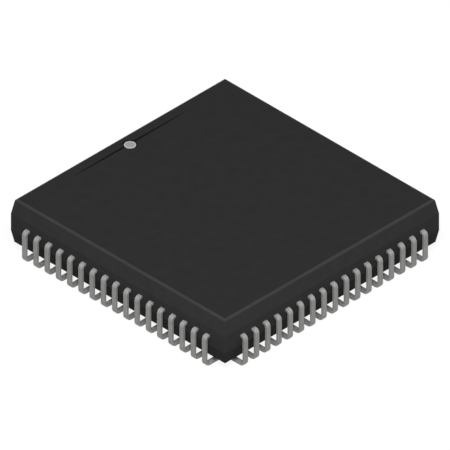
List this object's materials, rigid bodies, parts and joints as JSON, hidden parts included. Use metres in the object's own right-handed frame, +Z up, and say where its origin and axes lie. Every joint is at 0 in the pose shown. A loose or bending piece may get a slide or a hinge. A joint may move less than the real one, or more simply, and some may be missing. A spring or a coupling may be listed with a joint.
{
  "type": "plcc chip",
  "caption": "Square plastic leaded chip carrier with J leads on all four sides, black moulded body, index dot and index groove.",
  "frame": {"origin": "centre of the lead square on the seating plane, where the feet of the leads touch the board", "axes": "+Z up from the seating plane to the top of the body, +Y towards the side with the index dot and groove, +X to the right of it seen from above"},
  "size_m": [0.0252, 0.0252, 0.005],
  "materials": {
    "mould_compound": "black epoxy mould compound, fine spark-eroded texture",
    "lead_plating": "matte tin plating over copper alloy",
    "marking_ink": "pale grey marking ink, flat",
    "frame_copper": "bare stamped copper alloy",
    "silver_epoxy": "silver-filled epoxy, cured",
    "silicon": "polished silicon",
    "bond_wire": "drawn gold wire"
  },
  "bodies": {
    "root": {"moulded_body": "mould_compound", "right_side_leads": "lead_plating", "index_side_leads": "lead_plating", "left_side_leads": "lead_plating", "opposite_side_leads": "lead_plating", "pin_one_dot": "marking_ink", "die_paddle": "frame_copper", "die_attach": "silver_epoxy", "silicon_die": "silicon", "right_side_wires": "bond_wire", "index_side_wires": "bond_wire", "left_side_wires": "bond_wire", "opposite_side_wires": "bond_wire"}
  },
  "joints": []
}
